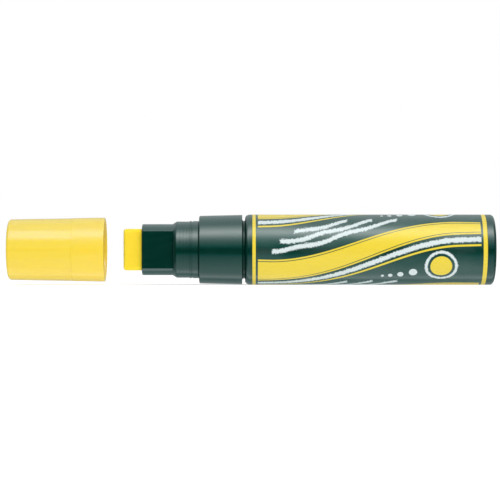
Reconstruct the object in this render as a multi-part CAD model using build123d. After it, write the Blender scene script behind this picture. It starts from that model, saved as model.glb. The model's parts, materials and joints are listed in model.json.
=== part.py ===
from build123d import *
import math
import os

# A wide-tip liquid chalk marker with its cap off, lying on its side on the floor.
# The nib points towards -X, the tail towards +X and the nib's broad face towards -Y.
# All lengths are in millimetres. Stations along the marker start at the collar's shoulder,
# where the cap's mouth comes to rest, and grow towards the tail.

# Clearances and overruns
press_clearance = 0.03  # radial gap between pieces that are pressed together
slide_clearance = 0.15  # gap all round a piece that slides in a guide
stop_gap = 0.2  # axial room left at the end of a travel
cut_overrun = 1.0  # how far a cutting shape runs past the piece

# Nib, a block of bonded fibre
nib_width = 15.0
nib_thickness = 7.5
nib_corner_round = 1.0
nib_tip_round = 0.8
nib_reach = 6.7  # how far the nib stands out of its holder

# Nib holder, pressed into the neck, with a flat on each broad side of the nib
holder_wall = 1.04  # round wall past the nib's corners
holder_flat_wall = 2.45  # wall between a flat and the nib's broad side
holder_length = 11.0
holder_flat_overrun = 0.45  # how far the flats run into the cone
holder_front_round = 0.4
holder_cone_length = 1.5
holder_spigot_wall = 0.7
holder_spigot_length = 11.1

# Front collar: neck for the cap, grip collar and the plug that closes the tank
neck_wall = 1.25
neck_length = 8.1
neck_land_height = 0.17  # how far the land behind the snap bead stands over the neck
neck_land_length = 2.25
neck_relief_length = 0.3  # slope that undercuts the land at the shoulder
neck_relief_depth = 0.2
bead_height = 0.22
bead_width = 0.75
bead_gap = 0.45  # neck left bare between the bead and the land
shoulder_height = 1.88  # how far the collar stands over the land that the cap slides on
collar_draft = 0.35  # how much the collar's radius grows towards the barrel
collar_length = 15.55
collar_round = 0.5
collar_gap = 1.05  # open groove between the collar and the barrel's mouth
groove_hollow = 0.7  # depth of the groove's rounded floor in the plug
groove_deep_share = 0.7  # where the floor is deepest, as a share of the groove's width
plug_wall = 1.4
plug_grip = 7.3  # how far the plug reaches into the barrel
plug_rib_height = 0.1
plug_rib_width = 0.8
plug_rib_count = 2

# Barrel, a one-piece tank with a closed tail and a shallow recess for the label
barrel_proud = 0.125  # how far the barrel stands over the collar's rear edge
barrel_length = 89.85
barrel_wall = 1.45
barrel_floor = 2.0
mouth_round_length = 1.8  # the mouth's outer edge is rounded off as a quarter of an ellipse
mouth_round_height = 1.25
tail_round = 2.5
tank_round = 1.0

# Printed film wrapped round the barrel, flush with its two ends
label_film = 0.1
label_glue = 0.02
label_end_gap = 0.05
label_front_margin = 2.6
label_tail_margin = 3.25

# Nib carrier, the plunger that takes the nib's push to the valve
press_travel = 2.5
carrier_thickness = 3.0
carrier_gap = 0.3
socket_depth = 1.5
carrier_flow_diameter = 2.6

# Valve in the plug
valve_wall = 1.2
valve_front_wall = 2.0
stem_diameter = 3.6
port_gap = 0.9  # ring left open round the stem in the port
washer_thickness = 1.2
seat_overlap = 1.9  # how far the poppet covers the washer round the port
poppet_thickness = 1.6
stem_tail_diameter = 3.2
stem_tail_grip = 0.8  # how far the stem's tail stands in its guide at rest
spring_length = 8.0
spring_turns = 6
spring_wire = 0.6
spring_stem_gap = 1.1
cage_thickness = 1.5
cage_window_diameter = 3.2
cage_window_count = 4

# Mixing ball, loose in the tank
ball_diameter = 8.0
ball_gap = 0.05
ball_place_share = 0.8  # where the ball lies, as a share of the tank's length

# Cap shell, a smooth mouth ring and a tapering grip with shallow flats
cap_gap = 6.74  # from the nib's tip to the mouth of the cap as it lies
cap_wall = 1.09
cap_end_wall = 1.4
cap_nib_room = 5.57  # from the nib's tip to the liner's floor with the cap on
cap_ring_length = 11.6
cap_ring_draft = 0.19  # how much the radius falls along the mouth ring
cap_grip_step = 0.06
cap_grip_draft = 0.36  # how much the radius falls along the grip
cap_flat_count = 20
cap_flat_land = 0.1  # how far the flats stay out from touching at their corners
cap_end_round = 1.3
cap_mouth_round = 0.55
cap_flare_length = 1.4  # the mouth's inner edge flares as a quarter of an ellipse
cap_flare_height = 0.45
cap_bead_clearance = 0.1
cap_neck_room = 0.3  # bore left past the neck's front face
cap_seat_step = 0.12

# Cap liner, the inner cup that closes round the nib holder
liner_wall = 0.55
liner_floor = 0.9
liner_lip_gap = 0.7  # bore left bare between the neck's bore and the liner's lip

# Radii that pieces share
nib_corner_reach = nib_corner_round + math.hypot(
    nib_width / 2 - nib_corner_round, nib_thickness / 2 - nib_corner_round
)
slot_reach = nib_corner_reach + slide_clearance
holder_r = slot_reach + holder_wall
spigot_r = slot_reach + holder_spigot_wall
neck_bore_r = spigot_r + press_clearance
neck_r = neck_bore_r + neck_wall
neck_land_r = neck_r + neck_land_height
bead_r = neck_r + bead_height
collar_front_r = neck_land_r + shoulder_height
collar_rear_r = collar_front_r + collar_draft
barrel_r = collar_rear_r + barrel_proud
tank_r = barrel_r - barrel_wall
plug_r = tank_r - press_clearance - plug_rib_height
pocket_r = plug_r - plug_wall
valve_r = pocket_r - press_clearance
valve_inner_r = valve_r - valve_wall
stem_r = stem_diameter / 2
port_r = stem_r + port_gap
stem_tail_r = stem_tail_diameter / 2
ball_r = ball_diameter / 2
cap_bore_r = max(bead_r, neck_land_r) + cap_bead_clearance
cap_mouth_r = cap_bore_r + cap_wall
cap_ring_rear_r = cap_mouth_r - cap_ring_draft
cap_grip_front_r = cap_ring_rear_r - cap_grip_step
cap_grip_end_r = cap_grip_front_r - cap_grip_draft
liner_seat_lip_r = cap_bore_r - cap_seat_step
liner_seat_end_r = cap_grip_end_r * math.cos(math.pi / cap_flat_count) - cap_wall

# Stations along the marker
neck_front = -neck_length
cone_front = neck_front - holder_cone_length
holder_front = cone_front - holder_length
nib_tip = holder_front - nib_reach
holder_rear = neck_front + holder_spigot_length
carrier_front = holder_rear + carrier_gap
carrier_rear = carrier_front + carrier_thickness
nib_rear = carrier_front + socket_depth
valve_front = carrier_rear + press_travel + stop_gap
seat_front = valve_front + valve_front_wall
poppet_front = seat_front + washer_thickness
poppet_rear = poppet_front + poppet_thickness
cage_front = poppet_rear + spring_length
cage_rear = cage_front + cage_thickness
barrel_mouth = collar_length + collar_gap
plug_rear = barrel_mouth + plug_grip
tail = barrel_mouth + barrel_length
tank_floor = tail - barrel_floor
label_front = barrel_mouth + label_front_margin
label_rear = tail - label_tail_margin

# Stations along the cap as it lies
cap_mouth = nib_tip - cap_gap
cap_travel = -stop_gap - cap_mouth
cap_seat = cap_mouth + neck_front + stop_gap - cap_neck_room
liner_lip = cap_seat - liner_lip_gap
liner_floor_front = nib_tip - cap_travel - cap_nib_room
liner_end = liner_floor_front - liner_floor
cap_inner_end = liner_end - press_clearance
cap_end = cap_inner_end - cap_end_wall

# Where the marker lies in the frame: centred along X, with the barrel touching the floor
middle = (cap_end + tail) / 2
in_frame = Pos(-middle, 0, barrel_r)


def turned(*outline):
    """A solid of revolution about the marker's axis from (station, radius) corners."""
    return revolve(make_face(Polyline(*outline, close=True)), Axis.X)


def disc(start, end, radius):
    """A round bar along the marker's axis."""
    return turned((start, 0), (end, 0), (end, radius), (start, radius))


def sleeve(start, end, inner, outer):
    """A plain ring along the marker's axis."""
    return turned((start, inner), (end, inner), (end, outer), (start, outer))


def bar(section, start, end):
    """A flat section, drawn on the YZ plane, run along the marker's axis."""
    return Pos(start, 0, 0) * extrude(Plane.YZ * section, end - start)


def nib_section(clearance):
    """The nib's section with a clearance all round."""
    return RectangleRounded(
        nib_thickness + 2 * clearance, nib_width + 2 * clearance, nib_corner_round + clearance
    )


def ring_edges(piece, station, radius):
    """The circular edges of a turned piece at one station and radius."""
    close = press_clearance / 2
    return [
        edge
        for edge in piece.edges().filter_by(GeomType.CIRCLE)
        if abs(edge.center().X - station) < close and abs(edge.radius - radius) < close
    ]


def make_barrel():
    round_middle = (barrel_mouth + mouth_round_length, barrel_r - mouth_round_height)
    mouth_round = EllipticalCenterArc(
        round_middle, mouth_round_length, mouth_round_height, start_angle=90, arc_size=90
    )
    outline = [
        Polyline(
            mouth_round @ 1,
            (barrel_mouth, tank_r),
            (tank_floor, tank_r),
            (tank_floor, 0),
            (tail, 0),
            (tail, barrel_r),
            mouth_round @ 0,
        ),
        mouth_round,
    ]
    body = revolve(make_face(outline), Axis.X)
    body = fillet(ring_edges(body, tail, barrel_r), tail_round)
    body = fillet(ring_edges(body, tank_floor, tank_r), tank_round)
    recess_r = barrel_r - label_film - label_glue
    return body - sleeve(
        label_front - label_end_gap, label_rear + label_end_gap, recess_r, barrel_r + cut_overrun
    )


def make_barrel_label():
    return sleeve(label_front, label_rear, barrel_r - label_film, barrel_r)


def make_front_collar():
    bead_rear = -neck_land_length - bead_gap
    bead_front = bead_rear - bead_width
    deepest = (collar_length + collar_gap * groove_deep_share, plug_r)
    front_cove = EllipticalCenterArc(
        deepest, deepest[0] - collar_length, groove_hollow, start_angle=180, arc_size=90
    )
    rear_cove = EllipticalCenterArc(
        deepest, barrel_mouth - deepest[0], groove_hollow, start_angle=270, arc_size=90
    )
    outline = [
        Polyline(
            (bead_front, neck_r),
            (neck_front, neck_r),
            (neck_front, neck_bore_r),
            (valve_front, neck_bore_r),
            (valve_front, pocket_r),
            (plug_rear, pocket_r),
            (plug_rear, plug_r),
            rear_cove @ 1,
        ),
        rear_cove,
        front_cove,
        Polyline(
            front_cove @ 0,
            (collar_length, collar_rear_r),
            (0, collar_front_r),
            (0, neck_land_r - neck_relief_depth),
            (-neck_relief_length, neck_land_r),
            (-neck_land_length, neck_land_r),
            (-neck_land_length, neck_r),
            (bead_rear, neck_r),
        ),
        ThreePointArc((bead_rear, neck_r), ((bead_rear + bead_front) / 2, bead_r), (bead_front, neck_r)),
    ]
    body = revolve(make_face(outline), Axis.X)
    body = fillet(ring_edges(body, 0, collar_front_r), collar_round)
    rib_pitch = plug_grip / (plug_rib_count + 1)
    for place in range(plug_rib_count):
        rib_front = barrel_mouth + rib_pitch * (place + 1) - plug_rib_width / 2
        body += sleeve(rib_front, rib_front + plug_rib_width, pocket_r, plug_r + plug_rib_height)
    return body


def make_nib_holder():
    body = turned(
        (holder_front, 0),
        (holder_rear, 0),
        (holder_rear, spigot_r),
        (neck_front, spigot_r),
        (neck_front, neck_r),
        (cone_front, holder_r),
        (holder_front, holder_r),
    )
    body = fillet(ring_edges(body, holder_front, holder_r), holder_front_round)
    flat_height = nib_thickness / 2 + slide_clearance + holder_flat_wall
    flat_rear = cone_front + holder_flat_overrun
    for side in (-1, 1):
        cut = Pos(side * (flat_height + holder_r / 2), 0) * Rectangle(holder_r, 2 * holder_r)
        body -= bar(cut, holder_front - cut_overrun, flat_rear)
    return body - bar(nib_section(slide_clearance), holder_front - cut_overrun, holder_rear + cut_overrun)


def make_nib():
    block = bar(nib_section(0), nib_tip, nib_rear)
    tip_face = block.faces().sort_by(Axis.X)[0]
    return fillet(tip_face.edges(), nib_tip_round)


def make_nib_carrier():
    carrier_r = neck_bore_r - slide_clearance
    body = disc(carrier_front, carrier_rear, carrier_r)
    body -= bar(nib_section(press_clearance), carrier_front - cut_overrun, nib_rear + press_clearance)
    flow_place = (nib_thickness / 2 + carrier_r) / 2
    for side in (-1, 1):
        hole = Pos(side * flow_place, 0) * Circle(carrier_flow_diameter / 2)
        body -= bar(hole, carrier_front - cut_overrun, carrier_rear + cut_overrun)
    return body


def make_valve_body():
    return turned(
        (valve_front, port_r),
        (seat_front, port_r),
        (seat_front, valve_inner_r),
        (cage_rear, valve_inner_r),
        (cage_rear, valve_r),
        (valve_front, valve_r),
    )


def make_seat_washer():
    return sleeve(seat_front, poppet_front, port_r, valve_inner_r - press_clearance)


def make_valve_stem():
    poppet_r = port_r + seat_overlap
    tail_end = cage_front + stem_tail_grip
    return turned(
        (carrier_rear, 0),
        (tail_end, 0),
        (tail_end, stem_tail_r),
        (poppet_rear, stem_tail_r),
        (poppet_rear, poppet_r),
        (poppet_front, poppet_r),
        (poppet_front, stem_r),
        (carrier_rear, stem_r),
    )


def make_valve_spring():
    wire_r = spring_wire / 2
    coil_r = stem_tail_r + spring_stem_gap + wire_r
    height = spring_length - spring_wire - 2 * press_clearance
    path = Helix(pitch=height / spring_turns, height=height, radius=coil_r)
    section = Plane(origin=path @ 0, z_dir=path % 0) * Circle(wire_r)
    coil = sweep(section, path=path, is_frenet=True)
    print("spring volume over its section times its length:", coil.volume / (section.area * path.length))
    return Pos(poppet_rear + wire_r + press_clearance, 0, 0) * Rot(0, 90, 0) * coil


def make_spring_cage():
    guide_r = stem_tail_r + slide_clearance
    cage_r = valve_inner_r - press_clearance
    body = sleeve(cage_front, cage_rear, guide_r, cage_r)
    for place in range(cage_window_count):
        turn = Rot(0, 0, place * 360 / cage_window_count)
        window = turn * Pos((guide_r + cage_r) / 2, 0) * Circle(cage_window_diameter / 2)
        body -= bar(window, cage_front - cut_overrun, cage_rear + cut_overrun)
    return body


def make_mixing_ball():
    place = plug_rear + (tank_floor - plug_rear) * ball_place_share
    drop = tank_r - ball_r - ball_gap
    return Pos(place, 0, -drop) * Sphere(ball_r)


def make_cap_shell():
    ring_rear = cap_mouth - cap_ring_length
    ring = turned(
        (cap_mouth, 0), (cap_mouth, cap_mouth_r), (ring_rear, cap_ring_rear_r), (ring_rear, 0)
    )
    ring = fillet(ring_edges(ring, cap_mouth, cap_mouth_r), cap_mouth_round)
    grip = turned(
        (ring_rear, 0), (ring_rear, cap_grip_front_r), (cap_end, cap_grip_end_r), (cap_end, 0)
    )
    grip = fillet(ring_edges(grip, cap_end, cap_grip_end_r), cap_end_round)
    flats = [
        Pos(station, 0, 0) * (Plane.YZ * RegularPolygon(radius + cap_flat_land, cap_flat_count))
        for station, radius in ((cap_end, cap_grip_end_r), (ring_rear, cap_grip_front_r))
    ]
    grip = grip & loft(flats)
    flare_middle = (cap_mouth - cap_flare_length, cap_bore_r + cap_flare_height)
    flare = EllipticalCenterArc(
        flare_middle, cap_flare_length, cap_flare_height, start_angle=270, arc_size=90
    )
    outline = [
        flare,
        Polyline(
            flare @ 1,
            (cap_mouth + cut_overrun, cap_bore_r + cap_flare_height),
            (cap_mouth + cut_overrun, 0),
            (cap_inner_end, 0),
            (cap_inner_end, liner_seat_end_r),
            (cap_seat, liner_seat_lip_r),
            (cap_seat, cap_bore_r),
            flare @ 0,
        ),
    ]
    return ring + grip - revolve(make_face(outline), Axis.X)


def make_cap_liner():
    slope = (liner_seat_lip_r - liner_seat_end_r) / (cap_seat - cap_inner_end)

    def outer_r(station):
        return liner_seat_end_r + slope * (station - cap_inner_end) - press_clearance

    return turned(
        (liner_end, 0),
        (liner_end, outer_r(liner_end)),
        (liner_lip, outer_r(liner_lip)),
        (liner_lip, outer_r(liner_lip) - liner_wall),
        (liner_floor_front, outer_r(liner_floor_front) - liner_wall),
        (liner_floor_front, 0),
    )


pieces = {
    "barrel": make_barrel(),
    "barrel_label": make_barrel_label(),
    "front_collar": make_front_collar(),
    "nib_holder": make_nib_holder(),
    "nib": make_nib(),
    "nib_carrier": make_nib_carrier(),
    "valve_body": make_valve_body(),
    "seat_washer": make_seat_washer(),
    "valve_stem": make_valve_stem(),
    "valve_spring": make_valve_spring(),
    "spring_cage": make_spring_cage(),
    "mixing_ball": make_mixing_ball(),
    "cap_shell": make_cap_shell(),
    "cap_liner": make_cap_liner(),
}

os.makedirs("parts", exist_ok=True)
for name, piece in pieces.items():
    export_step(in_frame * piece, os.path.join("parts", f"{name}.step"))

print("station of the shoulder in the frame:", -middle)
print("radius of the barrel:", barrel_r)
print("travel of the cap:", cap_travel)
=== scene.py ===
import json
import math
from functools import partial, reduce

import bmesh
import bpy
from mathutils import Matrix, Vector, noise


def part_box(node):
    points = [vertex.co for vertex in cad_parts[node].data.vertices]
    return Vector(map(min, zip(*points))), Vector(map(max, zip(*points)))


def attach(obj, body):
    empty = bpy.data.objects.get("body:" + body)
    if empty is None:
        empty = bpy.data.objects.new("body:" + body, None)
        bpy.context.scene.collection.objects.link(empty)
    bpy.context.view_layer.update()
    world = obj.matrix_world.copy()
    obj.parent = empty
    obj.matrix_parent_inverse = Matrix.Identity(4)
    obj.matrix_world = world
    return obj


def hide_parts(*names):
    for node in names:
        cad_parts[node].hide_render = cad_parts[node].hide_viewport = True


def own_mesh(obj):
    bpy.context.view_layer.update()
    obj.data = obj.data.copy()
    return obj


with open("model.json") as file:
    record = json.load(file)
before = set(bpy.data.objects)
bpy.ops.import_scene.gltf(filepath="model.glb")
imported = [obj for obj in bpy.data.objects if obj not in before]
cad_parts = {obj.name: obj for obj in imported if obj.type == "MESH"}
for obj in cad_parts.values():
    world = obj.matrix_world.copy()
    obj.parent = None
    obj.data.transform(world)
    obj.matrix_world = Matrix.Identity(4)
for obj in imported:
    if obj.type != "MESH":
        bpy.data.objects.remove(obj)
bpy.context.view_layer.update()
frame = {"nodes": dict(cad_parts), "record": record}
scene = bpy.context.scene
mm = 0.001
print("frame loaded with", len(frame["nodes"]), "nodes")

# The marker lies along X. Stations are in mm from the collar's shoulder, as on the drawing,
# and a turn of 0 faces the front (-Y) and grows upwards.
lie = {
    "barrelMouth": 16.6,
    "axisHeight": (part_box("barrel")[0].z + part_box("barrel")[1].z) / 2,
}
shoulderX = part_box("barrel")[0].x - lie["barrelMouth"] * mm


def alongX(station):
    return shoulderX + station * mm


def spot(station, radius, turn):
    return Vector((
        alongX(station),
        -radius * mm * math.cos(turn),
        lie["axisHeight"] + radius * mm * math.sin(turn),
    ))


# Small helpers for node trees, for materials and geometry alike
def feed(tree, socket, value):
    # a node stands for its first output
    if isinstance(value, bpy.types.Node):
        value = value.outputs[0]
    if isinstance(value, bpy.types.NodeSocket):
        tree.links.new(value, socket)
    else:
        socket.default_value = value


def feedAll(tree, node, inputs):
    for name, value in inputs.items():
        feed(tree, node.inputs[name], value)


def addNode(tree, kind, inputs=None, **settings):
    node = tree.nodes.new(kind)
    for name, value in settings.items():
        setattr(node, name, value)
    feedAll(tree, node, inputs or {})
    return node


def calc(tree, operation, *values):
    return addNode(tree, "ShaderNodeMath", dict(enumerate(values)), operation=operation)


def remap(tree, value, fromLow, fromHigh, toLow, toHigh, smooth=False):
    kind = "SMOOTHSTEP" if smooth else "LINEAR"
    inputs = dict(enumerate((value, fromLow, fromHigh, toLow, toHigh)))
    return addNode(tree, "ShaderNodeMapRange", inputs, interpolation_type=kind)


def vectorOf(tree, x=0.0, y=0.0, z=0.0):
    return addNode(tree, "ShaderNodeCombineXYZ", {0: x, 1: y, 2: z})


def partsOf(tree, vector):
    return addNode(tree, "ShaderNodeSeparateXYZ", {0: vector}).outputs


def opaque(colour, share=1.0):
    return tuple(min(1.0, c * share) for c in colour) + (1.0,)


def blendColour(tree, share, low, high):
    # 6, 7 and 2 are the colour sockets of the mix node
    node = addNode(tree, "ShaderNodeMix", {"Factor": share, 6: low, 7: high}, data_type="RGBA")
    return node.outputs[2]


def grainAt(tree, where, size, detail, stretch=(1.0, 1.0, 1.0)):
    mapping = addNode(tree, "ShaderNodeMapping", {"Vector": where, "Scale": stretch})
    return addNode(tree, "ShaderNodeTexNoise", {
        "Vector": mapping, "Scale": 1 / (size * mm), "Detail": detail,
    })


def raised(tree, height, depth, strength):
    return addNode(tree, "ShaderNodeBump", {
        "Strength": strength, "Distance": depth * mm, "Height": height,
    })


def newMaterial(name):
    material = bpy.data.materials.new(name)
    material.use_nodes = True
    tree = material.node_tree
    where = addNode(tree, "ShaderNodeTexCoord").outputs["Object"]
    return material, tree, tree.nodes["Principled BSDF"], partial(grainAt, tree, where)


# Materials. A grain is its size in mm, its detail and how it is stretched. A span is the part of
# the grain's range that is used. A relief is its depth in mm and its strength.
plasticSkin = {
    "cloud": (9.0, 3.0),
    "wear": (1.6, 4.0, (0.25, 1.0, 1.0)), "wearSpan": (0.3, 0.75), "wearLess": 0.03, "wearMore": 0.07,
    "skin": (0.35, 2.0), "skinShare": 0.6, "rings": (0.5, 3.0, (1.0, 0.004, 0.004)),
    "relief": (0.006, 0.5), "glowReach": (1.6, 1.2, 0.4),
}
feltSkin = {
    "strands": (0.3, 4.0, (0.3, 1.0, 1.0)), "strandShare": 0.55,
    "soak": (3.5, 2.0), "soakShare": 0.45, "shadeSpan": (0.3, 0.7),
    "roughSpan": (0.2, 0.8), "rough": (0.7, 0.92), "relief": (0.05, 0.5),
    "sheen": 0.12, "specular": 0.25, "glow": 0.6, "glowReach": (3.0, 2.2, 0.6),
}
rubberSkin = {
    "bloom": (0.8, 3.0), "dark": (0.02, 0.02, 0.02), "light": (0.045, 0.045, 0.047),
    "roughSpan": (0.3, 0.7), "rough": (0.6, 0.8), "relief": (0.02, 0.4),
}
steelSkin = {"drawn": (0.25, 3.0), "shade": 0.85, "roughSpan": (0.3, 0.7), "roughMore": 0.12}


def letThrough(tree, shader, share, reach):
    # light that soaks through thin walls and fibre
    inputs = {"Subsurface Weight": share, "Subsurface Radius": reach, "Subsurface Scale": mm}
    feedAll(tree, shader, inputs)


def mouldedPlastic(name, colour, rough, patch=0.06, lines=0.0, tint=(1.0, 1.0, 1.0), glow=0.0):
    s = plasticSkin
    material, tree, shader, grain = newMaterial(name)
    cloud = grain(*s["cloud"])
    # handling wear: fine hairlines and cloudy patches in the gloss
    wear = grain(*s["wear"])
    height = calc(tree, "MULTIPLY", grain(*s["skin"]), s["skinShare"])
    if lines:
        # rings left by the turned mould
        height = calc(tree, "MULTIPLY_ADD", grain(*s["rings"]), lines, height)
    feedAll(tree, shader, {
        "Base Color": blendColour(tree, cloud, opaque(colour, 1 - patch), opaque(colour, 1 + patch)),
        "Roughness": remap(tree, wear, *s["wearSpan"], rough - s["wearLess"], rough + s["wearMore"]),
        "Normal": raised(tree, height, *s["relief"]),
        "Specular Tint": opaque(tint),
    })
    if glow:
        letThrough(tree, shader, glow, s["glowReach"])
    return material


def printedFilm(name, s):
    material, tree, shader, grain = newMaterial(name)
    do = partial(calc, tree)
    chart = partsOf(tree, addNode(tree, "ShaderNodeUVMap", uv_map="wrap"))
    along = do("MULTIPLY", chart[0], s["length"])
    around = do("MULTIPLY", do("SUBTRACT", chart[1], 0.5), s["girth"])
    half = s["girth"] / s["repeats"] / 2
    across = do("WRAP", around, half, -half)
    dust = grain(*s["dustGrain"])
    ragged = do("MULTIPLY_ADD", dust, s["dustShare"], grain(*s["chalkGrain"]))
    ragged = do("SUBTRACT", ragged, s["raggedMiddle"])

    def band(value, width):
        return do("SUBTRACT", do("ABSOLUTE", value), width)

    def inked(distance, edge=s["edge"]):
        return remap(tree, distance, edge, -edge, 0.0, 1.0)

    def chalked(distance, rough, edge):
        return inked(do("MULTIPLY_ADD", ragged, rough, distance), edge)

    def between(value, low, high):
        fade = s["ringEdge"]
        rise = remap(tree, value, low - fade, low + fade, 0.0, 1.0)
        fall = remap(tree, value, high - fade, high + fade, 1.0, 0.0)
        return do("MULTIPLY", rise, fall)

    def anyOf(*masks):
        return reduce(partial(do, "MAXIMUM"), masks)

    # a broad ribbon that sweeps up from the lower left, with a keyline inside and two lines beside it
    climb = s["sweepRise"]
    sweep = remap(tree, along, s["sweepStart"], s["sweepEnd"], -climb, climb, True)
    girth = remap(tree, along, 0.0, s["length"], s["ribbonWide"], s["ribbonNarrow"])
    off = do("WRAP", do("SUBTRACT", around, sweep), half, -half)
    fromEdge = band(off, girth)
    keyline = inked(band(do("ADD", fromEdge, s["keyInset"]), s["keyWidth"]))
    ribbon = do("MULTIPLY", inked(fromEdge), do("SUBTRACT", 1.0, keyline))

    def beside(gap, width):
        return band(do("ADD", do("ADD", off, girth), gap), width)

    chalkLine = chalked(beside(*s["chalkLine"]), *s["lineRough"])
    fineLine = inked(beside(*s["fineLine"]))
    # chalk strokes of different lengths that run beside the ribbon
    strokes = []
    for offset, first, last in s["strokes"]:
        wave = do("SINE", do("MULTIPLY_ADD", along, 2 * math.pi / s["strokeWave"], offset))
        path = do("MULTIPLY_ADD", wave, s["strokeSwing"], offset)
        aside = do("WRAP", do("SUBTRACT", off, path), half, -half)
        past = do("MAXIMUM", do("SUBTRACT", first, along), do("SUBTRACT", along, last))
        stroke = do("SMOOTH_MAX", band(aside, s["strokeWidth"]), past, s["strokeBlend"])
        strokes.append(chalked(stroke, *s["strokeRough"]))

    def fromPoint(atAlong, atAcross):
        steps = ((along, atAlong), (across, atAcross))
        squares = [do("POWER", do("SUBTRACT", value, at), 2.0) for value, at in steps]
        return do("SQRT", do("ADD", *squares))

    # a disc in a chalk ring, lower right, with dots trailing off
    middle = fromPoint(*s["disc"])
    disc = inked(do("SUBTRACT", middle, s["discRadius"]))
    halo = band(do("SUBTRACT", middle, s["haloRadius"]), s["haloWidth"])
    halo = chalked(halo, *s["haloRough"])
    dots = [inked(do("SUBTRACT", fromPoint(a, b), r)) for a, b, r in s["dots"]]
    ends = [between(along, a, a + s["endRing"]) for a in s["endRings"]]

    panel = between(along, *s["panel"])
    yellow = do("MULTIPLY", anyOf(ribbon, fineLine, disc), panel)
    yellow = anyOf(yellow, *ends)
    white = do("MULTIPLY", anyOf(chalkLine, halo, *strokes, *dots), panel)
    mottle = grain(*s["mottle"])
    shades = {
        part: blendColour(tree, mottle, opaque(colour, s["mottleShade"]), opaque(colour))
        for part, colour in s["inks"].items()
    }
    # wiped chalk dust on the dark ground
    smear = remap(tree, grain(*s["smear"]), *s["smearSpan"], 0.0, s["smearMost"])
    smear = do("MULTIPLY", smear, remap(tree, dust, *s["dustSpan"], s["dustLeast"], 1.0))
    ground = blendColour(tree, smear, shades["ground"], shades["dust"])
    ink = blendColour(tree, yellow, ground, shades["yellow"])
    printed = anyOf(yellow, white)
    gloss = remap(tree, grain(*s["scuff"]), *s["scuffSpan"], *s["rough"])
    # ink takes some of the gloss from the film
    sheen = blendColour(tree, yellow, (1, 1, 1, 1), opaque(s["yellowSheen"]))
    height = do("MULTIPLY_ADD", mottle, s["mottleRelief"], printed)
    feedAll(tree, shader, {
        "Base Color": blendColour(tree, white, ink, shades["white"]),
        "Roughness": do("MULTIPLY_ADD", printed, s["inkRough"], gloss),
        "Specular Tint": blendColour(tree, white, sheen, opaque(s["whiteSheen"])),
        "Normal": raised(tree, height, *s["relief"]),
    })
    return material


def feltFibre(name, colour, deep):
    s = feltSkin
    material, tree, shader, grain = newMaterial(name)
    strands = grain(*s["strands"])
    soak = grain(*s["soak"])
    mixed = calc(tree, "MULTIPLY", strands, s["strandShare"])
    mixed = calc(tree, "MULTIPLY_ADD", soak, s["soakShare"], mixed)
    shade = remap(tree, mixed, *s["shadeSpan"], 0.0, 1.0)
    feedAll(tree, shader, {
        "Base Color": blendColour(tree, shade, opaque(deep), opaque(colour)),
        "Roughness": remap(tree, strands, *s["roughSpan"], *s["rough"]),
        "Normal": raised(tree, strands, *s["relief"]),
        "Sheen Weight": s["sheen"],
        "Specular IOR Level": s["specular"],
    })
    letThrough(tree, shader, s["glow"], s["glowReach"])
    return material


def plainRubber(name):
    s = rubberSkin
    material, tree, shader, grain = newMaterial(name)
    bloom = grain(*s["bloom"])
    feedAll(tree, shader, {
        "Base Color": blendColour(tree, bloom, opaque(s["dark"]), opaque(s["light"])),
        "Roughness": remap(tree, bloom, *s["roughSpan"], *s["rough"]),
        "Normal": raised(tree, bloom, *s["relief"]),
    })
    return material


def bareSteel(name, colour, rough):
    s = steelSkin
    material, tree, shader, grain = newMaterial(name)
    drawn = grain(*s["drawn"])
    feedAll(tree, shader, {
        "Base Color": blendColour(tree, drawn, opaque(colour, s["shade"]), opaque(colour)),
        "Roughness": remap(tree, drawn, *s["roughSpan"], rough, rough + s["roughMore"]),
        "Metallic": 1.0,
    })
    return material


# The label's print, in mm along the film and around it from the middle of the front. Rough is how
# ragged a chalk line's outline is, and the softness of its edge.
filmSizes = {
    "length": 84.0, "girth": 79.9, "repeats": 3, "edge": 0.07,
    "sweepStart": 6.0, "sweepEnd": 74.0, "sweepRise": 8.5,
    "ribbonWide": 5.0, "ribbonNarrow": 2.6, "keyInset": 0.75, "keyWidth": 0.14,
    # gap from the ribbon and half width of the two lines beside it
    "chalkLine": (2.1, 0.9), "lineRough": (1.6, 0.12), "fineLine": (4.2, 0.35),
    # how far off the ribbon each stroke runs, and from where to where
    "strokes": [(8.1, 7.0, 52.0), (11.1, 10.0, 43.0), (14.1, 15.0, 34.0)],
    "strokeWidth": 0.8, "strokeSwing": 0.35, "strokeWave": 17.0,
    "strokeBlend": 0.8, "strokeRough": (1.7, 0.14),
    "disc": (67.5, -6.3), "discRadius": 3.9,
    "haloRadius": 5.4, "haloWidth": 0.5, "haloRough": (1.0, 0.12),
    "dots": [(57.5, -8.8, 1.5), (53.0, -9.8, 1.1), (49.4, -10.3, 0.8), (46.6, -10.5, 0.55)],
    "endRings": [-0.5, 82.5], "endRing": 1.7, "ringEdge": 0.06, "panel": (2.0, 81.7),
    "inks": {
        "ground": (0.0016, 0.030, 0.0212),
        "dust": (0.07, 0.1, 0.092),
        "yellow": (0.7, 0.535, 0.038),
        "white": (0.57, 0.635, 0.64),
    },
    "yellowSheen": (0.2, 0.45, 0.8), "whiteSheen": (0.35, 0.35, 0.4),
    "chalkGrain": (0.55, 4.0), "dustGrain": (0.16, 2.0), "dustShare": 0.5, "raggedMiddle": 0.75,
    "mottle": (0.4, 3.0), "mottleShade": 0.94, "mottleRelief": 0.25,
    "smear": (7.0, 5.0, (0.45, 1.0, 1.0)), "smearSpan": (0.4, 0.75), "smearMost": 0.55,
    "dustSpan": (0.3, 0.7), "dustLeast": 0.25,
    "scuff": (1.3, 4.0, (0.3, 1.0, 1.0)), "scuffSpan": (0.3, 0.75), "rough": (0.17, 0.25),
    "inkRough": 0.06, "relief": (0.008, 0.35),
}

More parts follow.
